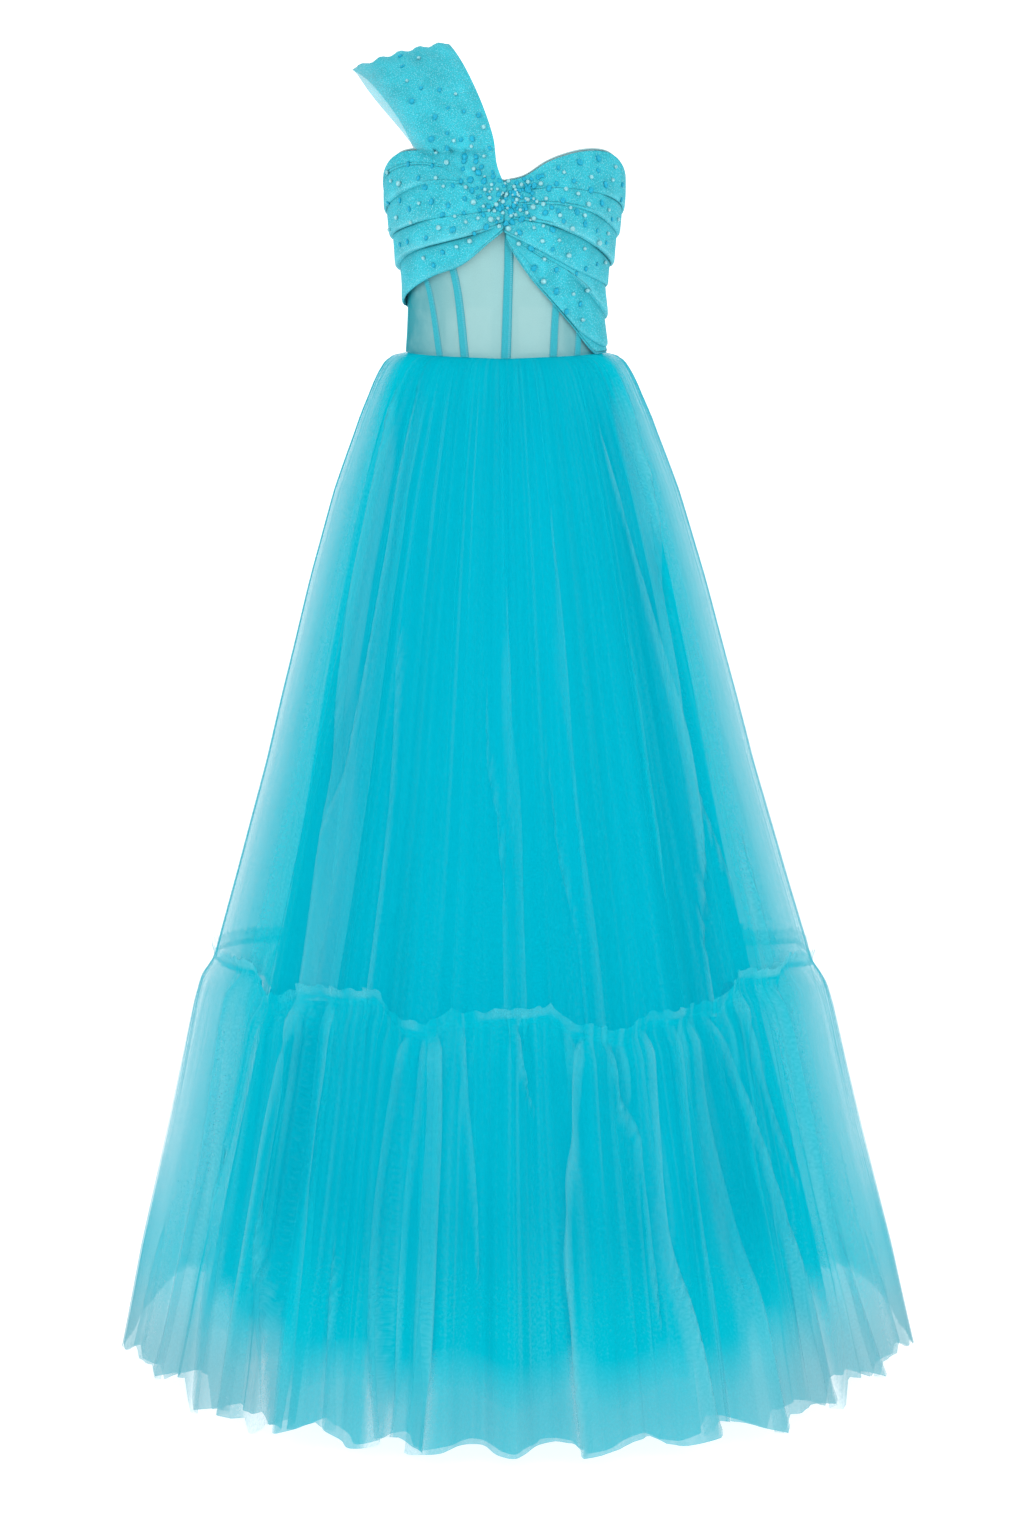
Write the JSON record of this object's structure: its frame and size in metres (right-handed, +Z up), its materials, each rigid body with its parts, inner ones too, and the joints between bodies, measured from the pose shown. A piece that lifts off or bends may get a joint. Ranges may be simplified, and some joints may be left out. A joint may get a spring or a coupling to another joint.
{
  "type": "ball gown",
  "caption": "Tulle ball gown with a strap over the right shoulder, a boned see-through corset, a draped bust that crosses into a sash tail, and a full gathered skirt with a flounce.",
  "frame": {"origin": "middle of the waist seam, where the wearer's waist holds the gown up", "axes": "+Z up along the wearer, -Y to the front, +X to the wearer's left; the strap is at -X"},
  "size_m": [0.9045, 0.8784, 1.4708],
  "materials": {
    "sheer_mesh": "fine see-through corset mesh, pale teal",
    "bone_channel": "flat woven bone channel, turquoise",
    "draped_tulle": "close glitter tulle over a lining cloth, pleated, pale turquoise",
    "zip_tape": "woven tape of a concealed zip, turquoise",
    "skirt_tulle": "soft gathered tulle, turquoise, see-through in one layer",
    "lining_satin": "matt satin lining, turquoise"
  },
  "bodies": {
    "root": {"corset_back_right": "sheer_mesh", "corset_back_left": "sheer_mesh", "corset_side_back_right": "sheer_mesh", "corset_side_back_left": "sheer_mesh", "corset_side_right": "sheer_mesh", "corset_side_left": "sheer_mesh", "corset_side_front_right": "sheer_mesh", "corset_side_front_left": "sheer_mesh", "corset_centre_front_right": "sheer_mesh", "corset_centre_front_left": "sheer_mesh", "bone_centre": "bone_channel", "bone_front_right": "bone_channel", "bone_front_left": "bone_channel", "bone_side_front_right": "bone_channel", "bone_side_front_left": "bone_channel", "bone_side_right": "bone_channel", "bone_side_left": "bone_channel", "bone_side_back_right": "bone_channel", "bone_side_back_left": "bone_channel", "bust_drape_right": "draped_tulle", "bust_drape_left": "draped_tulle", "back_drape_right": "draped_tulle", "back_drape_left": "draped_tulle", "sash_tail": "draped_tulle", "shoulder_strap": "draped_tulle", "zip_tape": "zip_tape", "skirt_front": "skirt_tulle", "flounce_front": "skirt_tulle", "skirt_back_left": "skirt_tulle", "flounce_back_left": "skirt_tulle", "skirt_back_right": "skirt_tulle", "flounce_back_right": "skirt_tulle", "lining_front": "lining_satin", "lining_back_left": "lining_satin", "lining_back_right": "lining_satin"}
  },
  "joints": []
}
